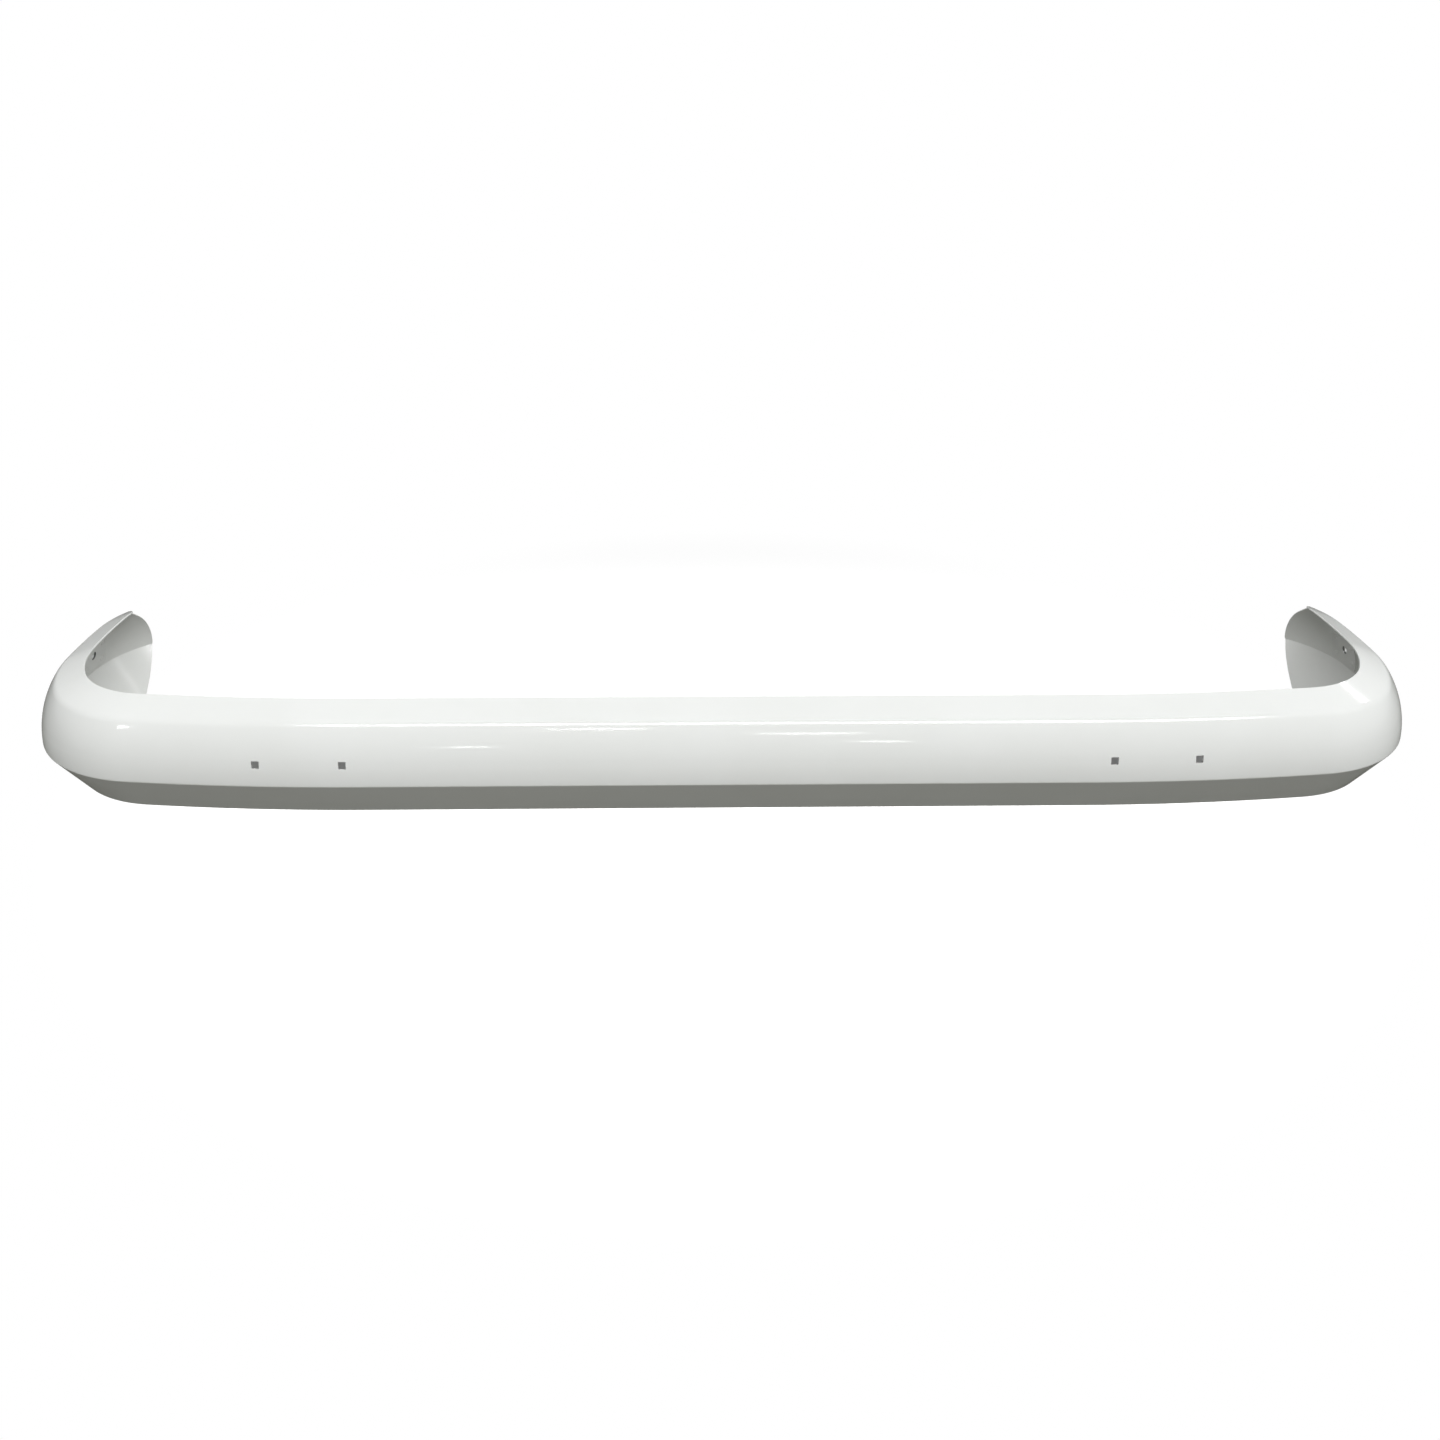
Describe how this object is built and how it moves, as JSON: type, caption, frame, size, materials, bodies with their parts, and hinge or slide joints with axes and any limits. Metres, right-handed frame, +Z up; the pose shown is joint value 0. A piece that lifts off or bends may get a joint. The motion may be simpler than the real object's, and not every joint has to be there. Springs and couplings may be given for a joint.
{
  "type": "bumper blade",
  "caption": "Wraparound channel-section steel bumper blade with hooked legs, square bolt holes and welded doubler plates inside, painted gloss off-white.",
  "frame": {"origin": "middle of the part's outline on the floor that it stands on", "axes": "+X along the blade's width, +Y from the face towards the vehicle, +Z up"},
  "size_m": [1.765, 0.423, 0.1388],
  "materials": {
    "blade_paint": "gloss off-white paint over pressed steel",
    "doubler_paint": "gloss off-white paint, thinner inside the channel",
    "weld_paint": "gloss off-white paint over weld metal"
  },
  "bodies": {
    "root": {"centre_pressing": "blade_paint", "left_end_pressing": "blade_paint", "right_end_pressing": "blade_paint", "left_seam_weld": "weld_paint", "right_seam_weld": "weld_paint", "left_bracket_doubler": "doubler_paint", "right_bracket_doubler": "doubler_paint", "left_bracket_plug_welds": "weld_paint", "right_bracket_plug_welds": "weld_paint", "left_end_doubler": "doubler_paint", "right_end_doubler": "doubler_paint", "left_end_plug_welds": "weld_paint", "right_end_plug_welds": "weld_paint"}
  },
  "joints": []
}
